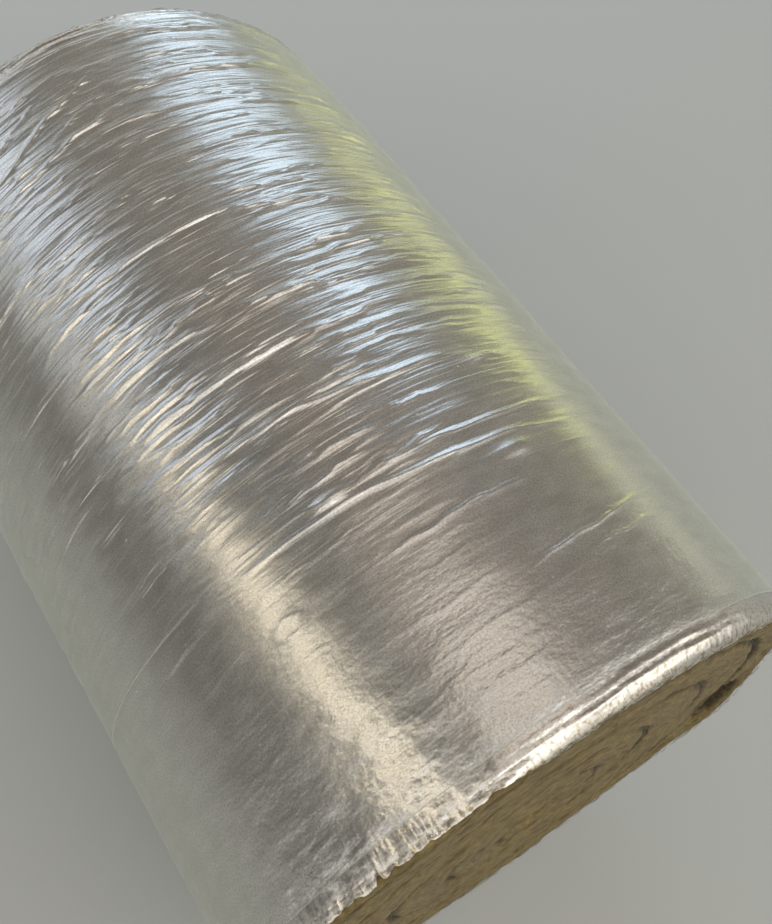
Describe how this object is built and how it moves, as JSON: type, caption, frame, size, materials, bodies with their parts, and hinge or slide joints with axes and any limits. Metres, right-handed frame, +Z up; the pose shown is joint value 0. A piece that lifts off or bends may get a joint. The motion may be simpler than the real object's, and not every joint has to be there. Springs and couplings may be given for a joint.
{
  "type": "foil-faced stone wool insulation roll",
  "caption": "Stone wool blanket with an aluminium foil facing, wound into a round roll that lies on its side, in a clear film sleeve that leaves both wool ends open.",
  "frame": {"origin": "on the floor, under the middle of the roll as it lies on its side", "axes": "+X along the roll's axis, towards the end that the picture shows, +Z up"},
  "size_m": [1, 0.7012, 0.7011],
  "materials": {
    "stone_wool": "matt, fibrous, olive-brown",
    "foil": "bright, with a fine mesh grain, wrinkled round the roll",
    "film": "clear stretch film, glossy, faintly milky"
  },
  "bodies": {
    "root": {"wool_roll": "stone_wool", "foil_facing": "foil", "film_wrap": "film"}
  },
  "joints": []
}
